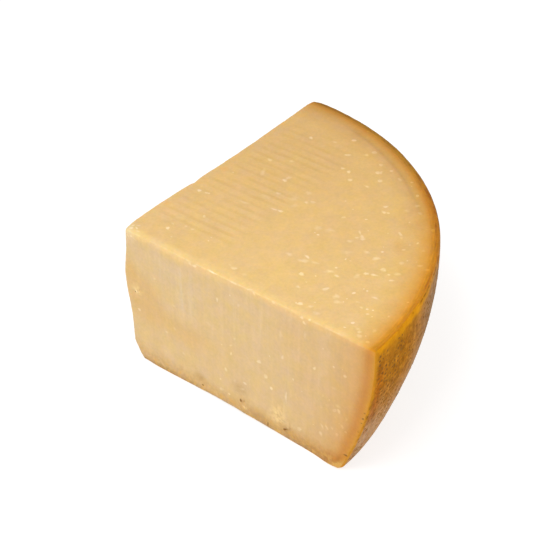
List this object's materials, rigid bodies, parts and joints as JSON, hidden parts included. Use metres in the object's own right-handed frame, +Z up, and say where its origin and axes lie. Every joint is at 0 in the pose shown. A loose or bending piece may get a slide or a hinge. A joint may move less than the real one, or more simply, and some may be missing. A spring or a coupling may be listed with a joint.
{
  "type": "parmesan chunk",
  "caption": "Quarter of a halved wheel of hard cheese, with a level top cut, two upright cuts and a bulging rind.",
  "frame": {"origin": "middle of the bounding box at the base, on the surface that the rind base rests on", "axes": "+Z up along the wheel's axis; the tip points to -X -Y, the front cut runs along +X and faces -Y, the other cut runs along +Y and faces -X, the barrel rind faces +X +Y"},
  "size_m": [0.2156, 0.2104, 0.1129],
  "materials": {
    "cheese": "waxy straw-yellow paste with white crystals, browning into a golden rind"
  },
  "bodies": {
    "root": {"cheese_chunk": "cheese"}
  },
  "joints": []
}
